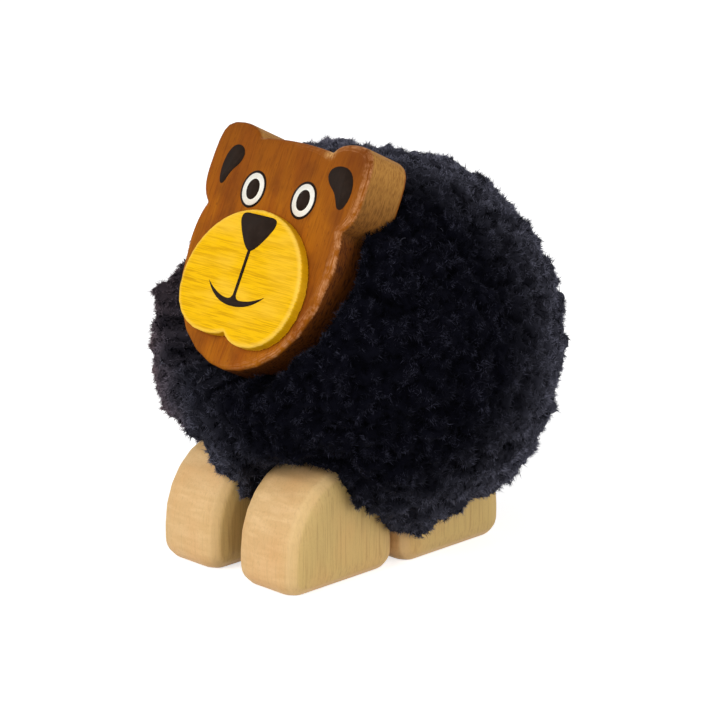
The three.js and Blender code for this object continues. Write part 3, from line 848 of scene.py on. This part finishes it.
class BEAR_OT_pile(bpy.types.Operator):
    """Adds the coat of yarn pile: its dark ground, the fleece on it and a little lint"""

    bl_idname = "bear.pile"
    bl_label = "Yarn Pile"

    def execute(self, context):
        sizes, colours = context.scene.bear_sizes, context.scene.bear_colours
        material = pile_material(colours)
        low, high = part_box("pile_coat")
        middle = (low + high) / 2
        # Without a seed the noise takes its start from the clock
        noise.seed_set(NOISE_SEED)
        ground = pile_ground(sizes)
        sectors = plant_fleece(sizes, ground, middle)
        for name, shape in sectors.items():
            mesh = bpy.data.meshes.new("pile_" + name)
            shape.to_mesh(mesh)
            shape.free()
            add_piece("pile_" + name, mesh, material, "black_pile", "pile_coat")
        lint = plant_lint(sizes, ground, middle)
        add_piece("loose_lint", lint, lint_material(colours), "black_pile", "pile_coat")
        packed = finished_mesh(ground, "pile_ground")
        add_piece("pile_ground", packed, material, "black_pile", "pile_coat")
        return {"FINISHED"}


def add_camera(context):
    """A long lens at the photograph's angle: ahead and to the bear's left, a little above it."""
    azimuth, elevation, distance = math.radians(45), math.radians(16), 684 * MM
    aim = Vector((21.3, -21.4, 52.4)) * MM
    back = Vector((math.sin(azimuth) * math.cos(elevation), -math.cos(azimuth) * math.cos(elevation),
                   math.sin(elevation)))
    camera = bpy.data.objects.new("camera", bpy.data.cameras.new("camera"))
    camera.data.lens = 150.0
    camera.data.sensor_width = 36.0
    camera.data.clip_start = 0.01
    camera.location = aim + back * distance
    camera.rotation_mode = "QUATERNION"
    camera.rotation_quaternion = (-back).to_track_quat("-Z", "Y")
    context.scene.collection.objects.link(camera)
    context.scene.camera = camera


def add_softbox(context, name, place, size, power):
    """A square soft lamp that points at the middle of the bear."""
    lamp = bpy.data.objects.new(name, bpy.data.lights.new(name, "AREA"))
    lamp.data.size = size
    lamp.data.energy = power
    lamp.location = Vector(place)
    lamp.rotation_mode = "QUATERNION"
    middle = Vector((0.0, 0.0, 50 * MM))
    lamp.rotation_quaternion = (middle - lamp.location).to_track_quat("-Z", "Y")
    context.scene.collection.objects.link(lamp)


def seen_directly(tree):
    """1 for rays from the camera, and for those that mirrors and glass pass on."""
    path = add_node(tree, "LightPath")
    both = add_node(tree, "Math", {"operation": "MAXIMUM"},
                    {0: path.outputs["Is Camera Ray"], 1: path.outputs["Is Glossy Ray"]}).outputs[0]
    return add_node(tree, "Math", {"operation": "MAXIMUM"},
                    {0: both, 1: path.outputs["Is Transmission Ray"]}).outputs[0]


def add_world(context, level=0.72, overhead=0.3):
    """A studio surround that looks white and lights the bear, less from overhead than from the sides."""
    world = bpy.data.worlds.new("studio")
    world.use_nodes = True
    tree = world.node_tree
    tree.nodes.clear()
    way = add_node(tree, "SeparateXYZ", {}, {0: add_node(tree, "TexCoord").outputs["Generated"]})
    fading = add_node(tree, "MapRange", {}, {
        "Value": way.outputs["Z"], "From Max": 0.9, "To Min": level, "To Max": overhead,
    })
    lighting = add_node(tree, "Background", {}, {
        "Color": WHITE, "Strength": fading.outputs["Result"],
    })
    white = add_node(tree, "Background", {}, {"Color": WHITE, "Strength": 1.0})
    mix = add_node(tree, "MixShader", {}, {
        0: seen_directly(tree), 1: lighting.outputs[0], 2: white.outputs[0],
    })
    add_node(tree, "OutputWorld", {}, {"Surface": mix.outputs[0]})
    context.scene.world = world


def floor_material():
    """Matt white paper: it looks white, and keeps the soft shadow under the bear."""
    material, tree, _ = new_material("white_paper")
    paper = add_node(tree, "BsdfDiffuse", {}, {"Color": PAPER})
    glow = add_node(tree, "Emission", {}, {"Color": WHITE, "Strength": seen_directly(tree)})
    glow_share = 0.68
    dim = add_node(tree, "MixShader", {}, {0: glow_share, 1: paper.outputs[0], 2: glow.outputs[0]})
    both = add_node(tree, "AddShader", {}, {0: dim.outputs[0], 1: paper.outputs[0]})
    add_node(tree, "OutputMaterial", {}, {"Surface": both.outputs[0]})
    return material


class BEAR_OT_stage(bpy.types.Operator):
    """Adds the white floor, the soft lamps, the surround and the camera"""

    bl_idname = "bear.stage"
    bl_label = "Stage"

    def execute(self, context):
        shape = bmesh.new()
        bmesh.ops.create_grid(shape, x_segments=1, y_segments=1, size=4.0)
        floor = bpy.data.objects.new("floor", finished_mesh(shape, "floor"))
        context.scene.collection.objects.link(floor)
        floor.data.materials.append(floor_material())
        add_softbox(context, "key", place=(-0.05, -1.1, 0.7), size=0.7, power=9.0)
        add_softbox(context, "fill", place=(1.1, 0.25, 0.5), size=0.9, power=6.0)
        add_world(context)
        add_camera(context)
        context.scene.view_settings.view_transform = "Standard"
        return {"FINISHED"}


class BEAR_PT_build(bpy.types.Panel):
    """Lists the steps that build the bear"""

    bl_idname = "BEAR_PT_build"
    bl_label = "Bear Ornament"
    bl_space_type = "VIEW_3D"
    bl_region_type = "UI"
    bl_category = "Bear"

    def draw(self, context):
        for step in STEPS:
            self.layout.operator(step.bl_idname)
        for group in (context.scene.bear_sizes, context.scene.bear_colours):
            box = self.layout.box()
            for name in group.__annotations__:
                box.prop(group, name)


STEPS = (BEAR_OT_head_board, BEAR_OT_muzzle, BEAR_OT_face_paint, BEAR_OT_feet, BEAR_OT_inner_wood,
         BEAR_OT_pile, BEAR_OT_stage)
CLASSES = (BearSizes, BearColours) + STEPS + (BEAR_PT_build,)


def register():
    for item in CLASSES:
        bpy.utils.register_class(item)
    bpy.types.Scene.bear_sizes = PointerProperty(type=BearSizes)
    bpy.types.Scene.bear_colours = PointerProperty(type=BearColours)


def unregister():
    del bpy.types.Scene.bear_sizes
    del bpy.types.Scene.bear_colours
    for item in reversed(CLASSES):
        bpy.utils.unregister_class(item)


def main():
    register()
    bpy.ops.bear.head_board()
    bpy.ops.bear.muzzle()
    bpy.ops.bear.face_paint()
    bpy.ops.bear.feet()
    bpy.ops.bear.inner_wood()
    bpy.ops.bear.pile()
    bpy.ops.bear.stage()


if __name__ == "__main__":
    main()
